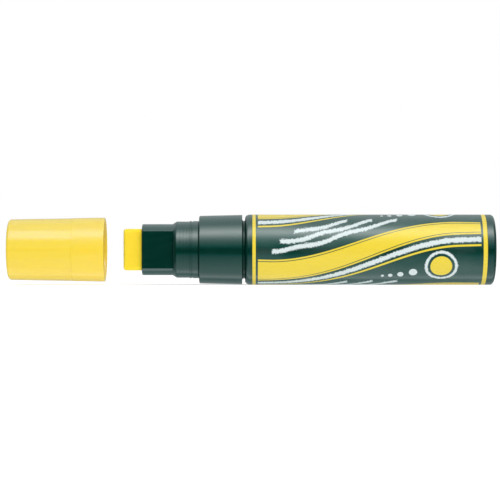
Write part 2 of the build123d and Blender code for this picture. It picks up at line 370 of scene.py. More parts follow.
materials = {
    "dark_plastic": mouldedPlastic("darkGreenPlastic", (0.0003, 0.0207, 0.014), 0.17, lines=1.0),
    "cap_plastic": mouldedPlastic(
        "yellowPlastic", (0.76, 0.572, 0.049), 0.17, patch=0.02, tint=(0.1, 0.35, 1.0), glow=0.45,
    ),
    "printed_film": printedFilm("printedFilm", filmSizes),
    "nib_fibre": feltFibre("inkedFelt", (0.835, 0.645, 0.041), (0.81, 0.6, 0.033)),
    "inner_plastic": mouldedPlastic("naturalPlastic", (0.72, 0.72, 0.68), 0.38, patch=0.03),
    "seal_rubber": plainRubber("blackRubber"),
    "spring_steel": bareSteel("springWire", (0.55, 0.55, 0.57), 0.25),
    "ball_steel": bareSteel("polishedSteel", (0.65, 0.65, 0.67), 0.06),
}
print("materials made:", ", ".join(materials))


# Meshes. A corner of an outline is its station, its radius and the radius that rounds it off.
def quarterRound(steps):
    turns = [math.pi / 2 * k / steps for k in range(steps + 1)]
    return [(math.sin(turn), 1 - math.cos(turn)) for turn in turns]


def softened(corners, steps, most=0.45):
    outline = []
    for i, (station, radius, soft) in enumerate(corners):
        here = Vector((station, radius))
        if not soft:
            outline.append(here)
            continue
        back = Vector(corners[i - 1][:2]) - here
        ahead = Vector(corners[(i + 1) % len(corners)][:2]) - here
        bend = back.angle(ahead) / 2
        reach = min(soft / math.tan(bend), most * back.length, most * ahead.length)
        back.normalize()
        ahead.normalize()
        arcRadius = reach * math.tan(bend)
        centre = here + (back + ahead).normalized() * arcRadius / math.sin(bend)
        first = here + back * reach - centre
        last = here + ahead * reach - centre
        start = math.atan2(first.y, first.x)
        sweep = math.atan2(last.y, last.x) - start
        sweep = (sweep + math.pi) % (2 * math.pi) - math.pi
        for k in range(steps + 1):
            turn = start + sweep * k / steps
            outline.append(centre + arcRadius * Vector((math.cos(turn), math.sin(turn))))
    return outline


def supported(outline, closed, margin=0.1, longFrom=0.5):
    # a row close to each end of a long side keeps its smooth shading flat
    held = []
    following = outline[1:] + outline[:1] if closed else outline[1:]
    for here, after in zip(outline, following):
        held.append(here)
        length = (after - here).length
        if length > longFrom:
            held.append(here.lerp(after, margin / length))
            held.append(here.lerp(after, 1 - margin / length))
    if not closed:
        held.append(outline[-1])
    return held


def skin(mesh, rings, closed):
    following = rings[1:] + rings[:1] if closed else rings[1:]
    for one, two in zip(rings, following):
        count = max(len(one), len(two))
        for i in range(count):
            j = (i + 1) % count
            if len(one) == 1:
                mesh.faces.new((one[0], two[i], two[j]))
            elif len(two) == 1:
                mesh.faces.new((one[i], two[0], one[j]))
            else:
                mesh.faces.new((one[i], two[i], two[j], one[j]))


def addObject(name, data):
    piece = bpy.data.objects.new(name, data)
    scene.collection.objects.link(piece)
    return piece


def asObject(name, mesh, material):
    bmesh.ops.recalc_face_normals(mesh, faces=mesh.faces)
    for face in mesh.faces:
        face.smooth = True
    data = bpy.data.meshes.new(name)
    mesh.to_mesh(data)
    mesh.free()
    data.materials.append(material)
    return addObject(name, data)


def turnedPiece(name, corners, slot, closed, sides=192, steps=6):
    mesh = bmesh.new()
    rings = []
    for station, radius in supported(softened(corners, steps), closed):
        turns = [2 * math.pi * i / sides for i in range(sides)] if radius > 0 else [0.0]
        rings.append([mesh.verts.new(spot(station, radius, turn)) for turn in turns])
    skin(mesh, rings, closed)
    return asObject(name, mesh, materials[slot])


def handOver(piece, body, slot, *nodes):
    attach(piece, body)
    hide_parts(*nodes)
    print("piece ready:", piece.name, len(piece.data.polygons), "faces")
    return piece


# Geometry Nodes
def newTree(name, wholes, floats):
    tree = bpy.data.node_groups.new(name, "GeometryNodeTree")
    labels = {
        "NodeSocketGeometry": ["Geometry"],
        "NodeSocketInt": wholes,
        "NodeSocketFloat": floats,
        "NodeSocketMaterial": ["Finish"],
    }
    for kind, named in labels.items():
        for label in named:
            tree.interface.new_socket(label, in_out="INPUT", socket_type=kind)
    tree.interface.new_socket("Geometry", in_out="OUTPUT", socket_type="NodeSocketGeometry")
    return tree, addNode(tree, "NodeGroupInput").outputs


def tubeAlong(tree, path, radius, sides, capped=False):
    wire = addNode(tree, "GeometryNodeCurvePrimitiveCircle", {"Resolution": sides, "Radius": radius})
    return addNode(tree, "GeometryNodeCurveToMesh", {
        "Curve": path, "Profile Curve": wire, "Fill Caps": capped,
    })


def joined(tree, *geometries):
    both = addNode(tree, "GeometryNodeJoinGeometry")
    for geometry in geometries:
        feed(tree, both.inputs[0], geometry)
    return both


def closeTree(tree, geometry, given):
    real = addNode(tree, "GeometryNodeRealizeInstances", {"Geometry": geometry})
    paint = addNode(tree, "GeometryNodeSetMaterial", {"Geometry": real, "Material": given["Finish"]})
    addNode(tree, "NodeGroupOutput", {"Geometry": paint})


def applyTree(piece, tree, slot, values):
    modifier = piece.modifiers.new(tree.name, "NODES")
    modifier.node_group = tree
    values = {"Axis Height": lie["axisHeight"], "Finish": materials[slot], **values}
    for item in tree.interface.items_tree:
        if item.name in values:
            modifier[item.identifier] = values[item.name]
    seen = piece.evaluated_get(bpy.context.evaluated_depsgraph_get())
    made = bpy.data.meshes.new_from_object(seen)
    piece.modifiers.remove(modifier)
    old = piece.data
    piece.data = made
    made.name = old.name + "Made"
    bpy.data.meshes.remove(old)
    for polygon in piece.data.polygons:
        polygon.use_smooth = True
    return piece


# Barrel: one-piece tank, recessed for the label, with a gate mark in the tail
barrel = {
    "mouth": lie["barrelMouth"], "length": 89.85, "radius": 12.7128, "tankRadius": 11.2628,
    "floor": 2.0, "tailRound": 2.5, "tankRound": 1.0,
    "mouthRound": (1.8, 1.25), "mouthEdge": 0.12, "roundSteps": 12,
    "labelFront": 19.2, "labelRear": 103.2, "labelGap": 0.05,
    "recess": 0.12, "recessEdge": 0.03, "recessFoot": 0.01,
    "gateRadius": 1.7, "gateDepth": 0.35, "gateSlope": 0.25, "gateEdge": 0.12, "gateFoot": 0.1,
    "stubRadius": 0.55, "stubHeight": 0.2, "stubTaper": 0.1, "stubEdge": 0.06,
}


def makeBarrel(s):
    tail = s["mouth"] + s["length"]
    tankFloor = tail - s["floor"]
    recessRadius = s["radius"] - s["recess"]
    front, rear = s["labelFront"] - s["labelGap"], s["labelRear"] + s["labelGap"]
    dish = tail - s["gateDepth"]
    stub = dish + s["stubHeight"]
    along, inward = s["mouthRound"]
    bend = quarterRound(s["roundSteps"])
    mouthRound = [(s["mouth"] + along * b, s["radius"] - inward * (1 - a), 0) for a, b in bend]
    return turnedPiece("barrel", [
        (tankFloor, 0, 0),
        (tankFloor, s["tankRadius"], s["tankRound"]),
        (s["mouth"], s["tankRadius"], s["mouthEdge"]),
        *mouthRound,
        (front, s["radius"], s["recessEdge"]),
        (front, recessRadius, s["recessFoot"]),
        (rear, recessRadius, s["recessFoot"]),
        (rear, s["radius"], s["recessEdge"]),
        (tail, s["radius"], s["tailRound"]),
        (tail, s["gateRadius"], s["gateEdge"]),
        (dish, s["gateRadius"] - s["gateSlope"], s["gateFoot"]),
        (dish, s["stubRadius"], s["stubEdge"]),
        (stub, s["stubRadius"] - s["stubTaper"], s["stubEdge"]),
        (stub, 0, 0),
    ], "dark_plastic", False, steps=8)


handOver(makeBarrel(barrel), "marker", "dark_plastic", "barrel")

# Label: film wrapped once round the barrel, its ends meeting at the back
label = {
    "front": barrel["labelFront"], "rear": barrel["labelRear"], "radius": barrel["radius"],
    "film": 0.1, "seamGap": 0.12, "columns": 256, "margin": 0.3,
}


def makeLabel(s):
    mesh = bmesh.new()
    chart = mesh.loops.layers.uv.new("wrap")
    reach = math.pi - s["seamGap"] / 2 / s["radius"]
    rows = [s["front"], s["front"] + s["margin"], s["rear"] - s["margin"], s["rear"]]
    turns = [-reach + 2 * reach * i / s["columns"] for i in range(s["columns"] + 1)]
    outer, inner = [
        [[mesh.verts.new(spot(x, radius, turn)) for turn in turns] for x in rows]
        for radius in (s["radius"], s["radius"] - s["film"])
    ]
    uvOf = {}
    for sheet in (outer, inner):
        for x, line in zip(rows, sheet):
            for i, vertex in enumerate(line):
                uvOf[vertex] = ((x - s["front"]) / (s["rear"] - s["front"]), i / s["columns"])
        for one, two in zip(sheet, sheet[1:]):
            for i in range(s["columns"]):
                mesh.faces.new((one[i], one[i + 1], two[i + 1], two[i]))
    for i in range(s["columns"]):
        for end in (0, -1):
            mesh.faces.new((outer[end][i], outer[end][i + 1], inner[end][i + 1], inner[end][i]))
    for r in range(len(rows) - 1):
        for side in (0, -1):
            mesh.faces.new((outer[r][side], outer[r + 1][side], inner[r + 1][side], inner[r][side]))
    for face in mesh.faces:
        for loop in face.loops:
            loop[chart].uv = uvOf[loop.vert]
    return asObject("barrel_label_film", mesh, materials["printed_film"])


handOver(makeLabel(label), "marker", "printed_film", "barrel_label")

# Front collar: neck with a snap bead, grip collar and the plug in the barrel
collar = {
    "neckLength": 8.1, "neckRadius": 10.1877, "neckEdge": 0.12, "boreRadius": 8.9377, "boreEdge": 0.1,
    "beadGap": 0.45, "beadWidth": 0.75, "beadHeight": 0.22, "beadFlank": 0.12, "beadEdge": 0.08,
    "landRadius": 10.3577, "landLength": 2.25, "landEdge": 0.06,
    "rootWidth": 0.3, "rootDepth": 0.2, "rootEdge": 0.04, "foot": 0.03,
    "frontRadius": 12.2377, "rearRadius": 12.5877, "length": 15.55, "round": 0.5, "rearEdge": 0.06,
    "grooveWidth": 1.05, "grooveHollow": 0.7, "grooveDeepest": 0.7, "roundSteps": 8,
    "plugRadius": 11.1328, "plugRear": 23.9, "plugEdge": 0.2,
    "pocketRadius": 9.7328, "pocketFront": 9.0, "pocketEdge": 0.1, "pocketFoot": 0.05,
    "ribs": [19.0333, 21.4667], "ribHeight": 0.1, "ribWidth": 0.8, "ribFoot": 0.02, "ribEdge": 0.03,
    "ringCount": 3, "ringFirst": -6.77, "ringPitch": 1.22, "ringHeight": 0.045, "ringWire": 0.13,
    "ringSteps": 192, "wireSides": 12,
}


def makeCollar(s):
    neck, land, plug = s["neckRadius"], s["landRadius"], s["plugRadius"]
    beadRear = -s["landLength"] - s["beadGap"]
    beadFront = beadRear - s["beadWidth"]
    bead = neck + s["beadHeight"]
    half, rib = s["ribWidth"] / 2, plug + s["ribHeight"]
    ribs = []
    for middle in s["ribs"]:
        ribs += [(middle - half, plug, s["ribFoot"]), (middle - half, rib, s["ribEdge"])]
        ribs += [(middle + half, rib, s["ribEdge"]), (middle + half, plug, s["ribFoot"])]
    front, hollow = s["length"], s["grooveHollow"]
    rear, deepest = front + s["grooveWidth"], front + s["grooveWidth"] * s["grooveDeepest"]
    bend = quarterRound(s["roundSteps"])
    groove = [(front + (deepest - front) * b, plug - hollow * a, 0) for a, b in bend]
    groove += [(deepest + (rear - deepest) * a, plug - hollow + hollow * b, 0) for a, b in bend[1:]]
    piece = turnedPiece("front_collar", [
        (-s["neckLength"], s["boreRadius"], s["boreEdge"]),
        (-s["neckLength"], neck, s["neckEdge"]),
        (beadFront, neck, s["foot"]),
        (beadFront + s["beadFlank"], bead, s["beadEdge"]),
        (beadRear - s["beadFlank"], bead, s["beadEdge"]),
        (beadRear, neck, s["foot"]),
        (-s["landLength"], neck, s["foot"]),
        (-s["landLength"], land, s["landEdge"]),
        (-s["rootWidth"], land, s["rootEdge"]),
        (0, land - s["rootDepth"], s["foot"]),
        (0, s["frontRadius"], s["round"]),
        (front, s["rearRadius"], s["rearEdge"]),
        *groove,
        *ribs,
        (s["plugRear"], plug, s["plugEdge"]),
        (s["plugRear"], s["pocketRadius"], s["pocketEdge"]),
        (s["pocketFront"], s["pocketRadius"], s["pocketFoot"]),
        (s["pocketFront"], s["boreRadius"], s["pocketFoot"]),
    ], "dark_plastic", True)
    tree, given = newTree("neckRings", ["Ring Count"], [
        "First Station", "Ring Pitch", "Ring Radius", "Ring Wire", "Axis Height",
    ])
    line = addNode(tree, "GeometryNodeMeshLine", {
        "Count": given["Ring Count"],
        "Start Location": vectorOf(tree, given["First Station"], 0.0, given["Axis Height"]),
        "Offset": vectorOf(tree, given["Ring Pitch"]),
    })
    hoop = addNode(tree, "GeometryNodeCurvePrimitiveCircle", {
        "Resolution": s["ringSteps"], "Radius": given["Ring Radius"],
    })
    rings = addNode(tree, "GeometryNodeInstanceOnPoints", {
        "Points": line,
        "Instance": tubeAlong(tree, hoop, given["Ring Wire"], s["wireSides"]),
        "Rotation": (0, math.pi / 2, 0),
    })
    closeTree(tree, joined(tree, rings, given["Geometry"]), given)
    return applyTree(piece, tree, "dark_plastic", {
        "Ring Count": s["ringCount"],
        "First Station": alongX(s["ringFirst"]),
        "Ring Pitch": s["ringPitch"] * mm,
        "Ring Radius": (neck + s["ringHeight"] - s["ringWire"]) * mm,
        "Ring Wire": s["ringWire"] * mm,
    })


handOver(makeCollar(collar), "marker", "dark_plastic", "front_collar")

# Nib holder: round, with a flat towards the front and one towards the back, and the nib's slot
holder = {
    "front": -20.6, "coneFront": -9.6, "neckFront": -8.1, "rear": 3.0, "radius": 9.2477,
    "frontRound": 0.4, "roundSteps": 7, "margin": 0.1,
    "flat": 6.35, "flatOverrun": 0.45, "flatFacing": 0.3, "edge": 0.1,
    # the ledge behind each flat is rounded: shares of the rounding, back and in
    "ledgeNick": 0.01, "ledgeRound": 0.12, "ledgeFoot": (0.15, 0.45), "ledgeTop": 0.5,
    # and so is the edge in front of the neck: back and in, in mm
    "neckRadius": 10.1877, "neckEdge": [(0.14, 0.09), (0.05, 0.02), (0.0, 0.05), (0.0, 0.2)],
    "spigotRadius": 8.9077, "spigotMargin": 0.2, "spigotEdge": 0.1,
    # half the slot's thickness and width, and its corners' radius
    "slot": (3.9, 7.65, 1.15), "slotEdge": 0.15, "slotNick": 0.04, "slotMargin": 1.0,
    # columns all round, and more of them by the edges of the flats, in degrees
    "columns": 240, "byEdge": (-1.2, -0.7, -0.4, -0.2, 0, 0.2, 0.4, 0.7, 1.2), "turnDigits": 5,
}


def roundedReach(halfThick, halfWide, corner, turn):
    across, up = abs(math.cos(turn)), abs(math.sin(turn))
    middle = (halfThick - corner, halfWide - corner)
    if halfThick * up <= middle[1] * across:
        return halfThick / across
    if halfWide * across <= middle[0] * up:
        return halfWide / up
    toward = across * middle[0] + up * middle[1]
    return toward + math.sqrt(toward ** 2 - middle[0] ** 2 - middle[1] ** 2 + corner ** 2)


def softMin(one, two, width):
    share = min(1.0, max(0.0, 0.5 + 0.5 * (two - one) / width))
    return two + (one - two) * share - width * share * (1 - share)


def makeHolder(s):
    turns = [math.radians(360 / s["columns"] * i) for i in range(s["columns"])]
    flatEdge = math.acos(s["flat"] / s["radius"])
    for turn in (-flatEdge, flatEdge, math.pi - flatEdge, math.pi + flatEdge):
        turns += [(turn + math.radians(nudge)) % (2 * math.pi) for nudge in s["byEdge"]]
    turns = sorted({round(turn, s["turnDigits"]) for turn in turns})

    def coneRadius(station):
        share = max(0.0, (station - s["coneFront"]) / (s["neckFront"] - s["coneFront"]))
        return s["radius"] + share * (s["neckRadius"] - s["radius"])

    def body(shrink, radius=s["radius"]):
        facing = [max(s["flatFacing"], abs(math.cos(turn))) for turn in turns]
        return [softMin(radius - shrink, (s["flat"] - shrink) / share, s["edge"]) for share in facing]

    def onCone(station):
        return station, body(0, coneRadius(station))

    def slot(grow):
        sizes = [size + grow for size in s["slot"]]
        return [roundedReach(*sizes, turn) for turn in turns]

    def hoop(radius):
        return [radius] * len(turns)

    front, soft, edge, margin = s["front"], s["frontRound"], s["slotEdge"], s["margin"]
    flatRear, ledge = s["coneFront"] + s["flatOverrun"], s["ledgeRound"]
    top = coneRadius(flatRear)
    neck, spigot = s["neckFront"], s["spigotRadius"]

    def atLeast(radius):
        return [max(reach, radius) for reach in body(0, top)]

    loops = [
        (s["rear"], slot(0)),
        (front + s["slotMargin"], slot(0)),
        (front + edge, slot(0)),
        (front + s["slotNick"], slot(s["slotNick"])),
        (front, slot(edge)),
        (front, slot(edge + margin)),
        (front, body(soft + margin)),
    ]
    bend = quarterRound(s["roundSteps"])[::-1]
    loops += [(front + soft * (1 - a), body(soft * b)) for a, b in bend]
    loops += [
        (front + soft + margin, body(0)),
        (s["coneFront"] - margin, body(0)),
        onCone(s["coneFront"] + margin),
        onCone(flatRear - margin),
        onCone(flatRear - s["ledgeNick"]),
        (flatRear, atLeast(s["flat"] + margin)),
        (flatRear, atLeast(top - ledge - margin)),
        (flatRear, atLeast(top - ledge)),
        (flatRear + ledge * s["ledgeFoot"][0], atLeast(top - ledge * s["ledgeFoot"][1])),
        (flatRear + ledge * s["ledgeTop"], hoop(top)),
        (flatRear + ledge, hoop(coneRadius(flatRear + ledge))),
    ]
    loops += [(neck - back, hoop(s["neckRadius"] - inward)) for back, inward in s["neckEdge"]]
    loops += [
        (neck, hoop(spigot)),
        (neck + s["spigotMargin"], hoop(spigot)),
        (s["rear"] - s["spigotMargin"], hoop(spigot)),
        (s["rear"], hoop(spigot - s["spigotEdge"])),
    ]
    mesh = bmesh.new()
    rings = [
        [mesh.verts.new(spot(x, reach, turn)) for reach, turn in zip(reaches, turns)]
        for x, reaches in loops
    ]
    skin(mesh, rings, True)
    return asObject("nib_holder", mesh, materials["dark_plastic"])


handOver(makeHolder(holder), "marker", "dark_plastic", "nib_holder")

# Nib: a block of bonded fibre with a worn, slightly napped surface
nib = {
    "tip": -27.3, "rear": 4.8, "halfThick": 3.75, "halfWide": 7.5,
    "corner": 1.0, "cornerLeast": 0.12, "cornerSteps": 6, "grid": 0.3,
    "tipRound": 1.1, "tipSteps": 5, "tipMiddle": 0.15, "tipMargin": 0.05,
    # lumps and nap: depth in mm, waves per mm, and how far the surface sinks on the whole
    "lump": (0.035, 0.7), "nap": (0.014, 3.1), "sink": 0.5, "shown": 8.0, "shownFade": 1.0,
    "fibreDensity": 7.0e6, "fibreLength": 0.3, "fibreThick": 0.022, "fibreSides": 3, "seed": 11,
    "fibreSizes": (0.5, 1.2), "fibreRise": 0.45, "fibreLean": 0.85,
    "fibreShort": 0.3, "longTo": 3.2, "shortFrom": 4.0, "fibreTo": 6.5,
}


def makeNib(s):
    across, tall = [
        max(2, round(2 * (s[half] - s["corner"]) / s["grid"])) for half in ("halfThick", "halfWide")
    ]
    quarters = ((1, 1), (-1, 1), (-1, -1), (1, -1))

    def section(inset):
        corner = max(s["cornerLeast"], s["corner"] - inset)
        thick, wide = s["halfThick"] - inset - corner, s["halfWide"] - inset - corner
        middles = [Vector((y * thick, z * wide)) for y, z in quarters]
        loop = []
        for quarter, middle in enumerate(middles):
            for k in range(s["cornerSteps"] + 1):
                turn = math.pi / 2 * (quarter + k / s["cornerSteps"])
                side = corner * Vector((math.cos(turn), math.sin(turn)))
                loop.append(middle + side)
            here, there = loop.pop(), middles[(quarter + 1) % len(middles)] + side
            count = tall if quarter % 2 else across
            loop += [here.lerp(there, k / count) for k in range(count)]
        return loop

    loops = []
    tip, soft = s["tip"], s["tipRound"]
    inset = s["halfThick"] - s["tipMiddle"]
    while inset > soft + s["tipMargin"]:
        loops.append((tip, inset))
        inset -= s["grid"]
    loops += [(tip + soft * b, soft * (1 - a)) for a, b in quarterRound(s["tipSteps"])]
    station = tip + soft + s["grid"]
    while station < tip + s["shown"]:
        loops.append((station, 0.0))
        station += s["grid"]
    loops.append((s["rear"], 0.0))
    mesh = bmesh.new()
    rings = []
    for x, inset in loops:
        places = [(alongX(x), p.x * mm, lie["axisHeight"] + p.y * mm) for p in section(inset)]
        rings.append([mesh.verts.new(place) for place in places])
    skin(mesh, rings, False)
    mesh.faces.new(rings[0])
    mesh.faces.new(rings[-1][::-1])
    bmesh.ops.recalc_face_normals(mesh, faces=mesh.faces)
    mesh.normal_update()
    shownTo = tip + s["shown"] + shoulderX / mm
    waves = (s["lump"], s["nap"])
    shifts = []
    for vertex in mesh.verts:
        where = vertex.co / mm
        fade = min(1.0, max(0.0, (shownTo - where.x) / s["shownFade"]))
        depth = sum(deep * (noise.noise(where * pitch) - s["sink"]) for deep, pitch in waves)
        shifts.append(vertex.normal * depth * fade * mm)
    for vertex, shift in zip(mesh.verts, shifts):
        vertex.co += shift
    piece = asObject("nib", mesh, materials["nib_fibre"])
    tree, given = newTree("nibNap", ["Seed"], [
        "Density", "Length", "Thickness", "Lean", "Long To", "Short From", "Short Share", "Shown To",
    ])
    x = partsOf(tree, addNode(tree, "GeometryNodeInputPosition"))[0]
    scatter = addNode(tree, "GeometryNodeDistributePointsOnFaces", {
        "Mesh": given["Geometry"],
        "Selection": calc(tree, "LESS_THAN", x, given["Shown To"]),
        "Density": given["Density"],
        "Seed": given["Seed"],
    })
    stray = addNode(tree, "FunctionNodeRandomValue", {
        0: (-1, -1, -1), 1: (1, 1, 1), "Seed": given["Seed"],
    }, data_type="FLOAT_VECTOR")
    bent = addNode(tree, "ShaderNodeVectorMath", {0: stray, "Scale": given["Lean"]}, operation="SCALE")
    heading = addNode(tree, "ShaderNodeVectorMath", {
        0: scatter.outputs["Normal"], 1: (s["fibreRise"],) * 3, 2: bent,
    }, operation="MULTIPLY_ADD")
    turned = addNode(tree, "FunctionNodeAlignRotationToVector", {"Vector": heading}, axis="Z")
    hair = addNode(tree, "GeometryNodeMeshCone", {
        "Vertices": s["fibreSides"],
        "Radius Bottom": given["Thickness"],
        "Depth": given["Length"],
    })
    # 2 and 3 are the node's limits for a single value
    size = addNode(tree, "FunctionNodeRandomValue", {
        2: s["fibreSizes"][0], 3: s["fibreSizes"][1], "Seed": given["Seed"],
    })
    # the fibres that slip into the slot as the nib is pressed are worn short
    worn = remap(tree, x, given["Long To"], given["Short From"], 1.0, given["Short Share"])
    nap = addNode(tree, "GeometryNodeInstanceOnPoints", {
        "Points": scatter,
        "Instance": hair,
        "Rotation": turned,
        "Scale": calc(tree, "MULTIPLY", size.outputs[1], worn),
    })
    closeTree(tree, joined(tree, nap, given["Geometry"]), given)
    return applyTree(piece, tree, "nib_fibre", {
        "Density": s["fibreDensity"],
        "Length": s["fibreLength"] * mm,
        "Thickness": s["fibreThick"] / 2 * mm,
        "Lean": s["fibreLean"],
        "Long To": alongX(tip + s["longTo"]),
        "Short From": alongX(tip + s["shortFrom"]),
        "Short Share": s["fibreShort"],
        "Shown To": alongX(tip + s["fibreTo"]),
        "Seed": s["seed"],
    })


handOver(makeNib(nib), "nib_unit", "nib_fibre", "nib")

# Cap shell: smooth mouth ring and a tapering grip with shallow flats
cap = {
    "mouth": -34.04, "end": -69.04, "ringRear": -45.64, "innerEnd": -67.64, "seat": -42.24,
    "mouthRadius": 11.5977, "ringRadius": 11.4077, "gripFront": 11.3477, "gripEnd": 10.9877,
    "boreRadius": 10.5077, "leadIn": (1.4, 0.45), "lipSeat": 10.3877, "endSeat": 9.7624,
    "mouthRound": 0.55, "endRound": 1.3, "innerRound": 0.3, "seatEdge": 0.02, "edge": 0.05,
    "lipLine": 1.93, "lipHalf": 0.12, "lipDepth": 0.05, "lipDraft": 0.014,
    "ringGroove": 0.09, "grooveFloor": 0.1, "grooveRear": 0.3, "grooveFoot": 0.03,
    "gateRadius": 1.6, "gateFloor": 1.35, "gateDepth": 0.3, "gateEdge": 0.12, "gateFoot": 0.1,
    "flats": 20, "ridgeRadius": 5.6, "gripGap": 0.02, "boreGap": 0.06, "sides": 320, "roundSteps": 10,
}


def makeCapShell(s):
    lip = s["mouth"] - s["lipLine"]
    lipRadius = s["mouthRadius"] - s["lipDraft"]
    deep, flare = s["leadIn"]
    bend = quarterRound(s["roundSteps"])
    leadIn = [(s["mouth"] - deep * (1 - a), s["boreRadius"] + flare * b, 0) for a, b in bend]
    gate = s["end"] + s["gateDepth"]
    piece = turnedPiece("cap_shell", [
        (s["innerEnd"], 0, 0),
        (s["innerEnd"], s["endSeat"], s["innerRound"]),
        (s["seat"], s["lipSeat"], s["seatEdge"]),
        (s["seat"], s["boreRadius"], s["seatEdge"]),
        *leadIn,
        (s["mouth"], s["mouthRadius"], s["mouthRound"]),
        (lip + s["lipHalf"], lipRadius, s["edge"]),
        (lip, lipRadius - s["lipDepth"], s["edge"]),
        (lip - s["lipHalf"], lipRadius, s["edge"]),
        (s["ringRear"], s["ringRadius"], s["edge"]),
        (s["ringRear"] - s["grooveFloor"], s["gripFront"] - s["ringGroove"], s["grooveFoot"]),
        (s["ringRear"] - s["grooveRear"], s["gripFront"], s["edge"]),
        (s["end"], s["gripEnd"], s["endRound"]),
        (s["end"], s["gateRadius"], s["gateEdge"]),
        (gate, s["gateFloor"], s["gateFoot"]),
        (gate, 0, 0),
    ], "cap_plastic", False, sides=s["sides"], steps=8)
    tree, given = newTree("capFlats", ["Flat Count"], [
        "Ridge Radius", "Axis Height", "Grip Front", "Grip End", "Front Radius", "End Radius",
        "Bore Front", "Bore End", "Bore Radius", "Floor Radius",
    ])
    do = partial(calc, tree)
    x, y, height = partsOf(tree, addNode(tree, "GeometryNodeInputPosition"))
    z = do("SUBTRACT", height, given["Axis Height"])
    radius = do("SQRT", do("MULTIPLY_ADD", y, y, do("MULTIPLY", z, z)))
    # each flat meets the next one in a rounded ridge
    half = do("DIVIDE", math.pi, given["Flat Count"])
    turn = do("SUBTRACT", do("ARCTAN2", z, y), half)
    turn = do("ABSOLUTE", do("WRAP", turn, half, do("MULTIPLY", half, -1.0)))
    grip = remap(tree, x, *[given[k] for k in ("Grip End", "Grip Front", "End Radius", "Front Radius")])
    ridge = do("SUBTRACT", grip, given["Ridge Radius"])
    flat = do("MULTIPLY_ADD", ridge, do("COSINE", half), given["Ridge Radius"])
    flatEnd = do("ARCTAN2", do("MULTIPLY", ridge, do("SINE", half)), flat)
    flatReach = do("DIVIDE", flat, do("COSINE", turn))
    lean = do("SUBTRACT", half, turn)
    aside = do("POWER", do("MULTIPLY", ridge, do("SINE", lean)), 2.0)
    ahead = do("SQRT", do("SUBTRACT", do("POWER", given["Ridge Radius"], 2.0), aside))
    ridgeReach = do("MULTIPLY_ADD", ridge, do("COSINE", lean), ahead)
    onFlat = do("LESS_THAN", turn, flatEnd)
    reach = do("MULTIPLY_ADD", do("SUBTRACT", flatReach, ridgeReach), onFlat, ridgeReach)
    share = do("DIVIDE", reach, grip)
    # the bore and the floor inside stay round
    bore = remap(tree, x, *[given[k] for k in ("Bore End", "Bore Front", "Floor Radius", "Bore Radius")])
    outer = do("MAXIMUM", do("GREATER_THAN", radius, bore), do("LESS_THAN", x, given["Bore End"]))
    press = addNode(tree, "GeometryNodeSetPosition", {
        "Geometry": given["Geometry"],
        "Selection": do("MULTIPLY", do("LESS_THAN", x, given["Grip Front"]), outer),
        "Position": vectorOf(
            tree, x, do("MULTIPLY", y, share), do("MULTIPLY_ADD", z, share, given["Axis Height"]),
        ),
    })
    closeTree(tree, press, given)
    return applyTree(piece, tree, "cap_plastic", {
        "Flat Count": s["flats"],
        "Ridge Radius": s["ridgeRadius"] * mm,
        "Grip Front": alongX(s["ringRear"] - s["gripGap"]),
        "Grip End": alongX(s["end"]),
        "Front Radius": s["gripFront"] * mm,
        "End Radius": s["gripEnd"] * mm,
        "Bore Front": alongX(s["seat"]),
        "Bore End": alongX(s["innerEnd"] - s["boreGap"]),
        "Bore Radius": (s["lipSeat"] + s["boreGap"]) * mm,
        "Floor Radius": (s["endSeat"] + s["boreGap"]) * mm,
    })


handOver(makeCapShell(cap), "cap", "cap_plastic", "cap_shell")

# Cap liner: the inner cup that closes round the nib holder
liner = {
    "end": -67.61, "floorFront": -66.71, "lip": -42.94, "wall": 0.55,
    "endRadius": 9.7331, "floorRadius": 9.7553, "lipRadius": 10.3405,
    "endRound": 0.2, "lipEdge": 0.08, "lipRound": 0.18, "floorRound": 0.5,
}


def makeLiner(s):
    return turnedPiece("cap_liner", [
        (s["end"], 0, 0),
        (s["end"], s["endRadius"], s["endRound"]),
        (s["lip"], s["lipRadius"], s["lipEdge"]),
        (s["lip"], s["lipRadius"] - s["wall"], s["lipRound"]),
        (s["floorFront"], s["floorRadius"] - s["wall"], s["floorRound"]),
        (s["floorFront"], 0, 0),
    ], "cap_plastic", False)


handOver(makeLiner(liner), "cap", "cap_plastic", "cap_liner")

# Valve spring: a coil of wire, which in the marker shortens as the nib is pressed in; here it is built
# once, at one length
spring = {
    "start": 14.13, "height": 7.34, "coil": 3.0, "wire": 0.6, "turns": 6.0,
    "turnSteps": 48, "wireSides": 14, "rest": 21.8, "press": 2.5, "room": 0.06,
}


def makeSpring(s):
    piece = asObject("valve_spring_coil", bmesh.new(), materials["spring_steel"])
    tree, given = newTree("springCoil", [], [
        "Turns", "Coil Radius", "Height", "Wire Radius", "Start", "Axis Height",
    ])
    coil = addNode(tree, "GeometryNodeCurveSpiral", {
        "Resolution": s["turnSteps"],
        "Reverse": True,
        "Rotations": given["Turns"],
        "Start Radius": given["Coil Radius"],
        "End Radius": given["Coil Radius"],
        "Height": given["Height"],
    })
    laid = addNode(tree, "GeometryNodeTransform", {
        "Geometry": tubeAlong(tree, coil, given["Wire Radius"], s["wireSides"], True),
        "Translation": vectorOf(tree, given["Start"], 0.0, given["Axis Height"]),
        "Rotation": (0, math.pi / 2, 0),
    })
    closeTree(tree, laid, given)
    return applyTree(piece, tree, "spring_steel", {
        "Turns": s["turns"],
        "Coil Radius": s["coil"] * mm,
        "Height": s["height"] * mm,
        "Wire Radius": s["wire"] / 2 * mm,
        "Start": alongX(s["start"]),
    })


springPiece = handOver(makeSpring(spring), "marker", "spring_steel", "valve_spring")
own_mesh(springPiece)

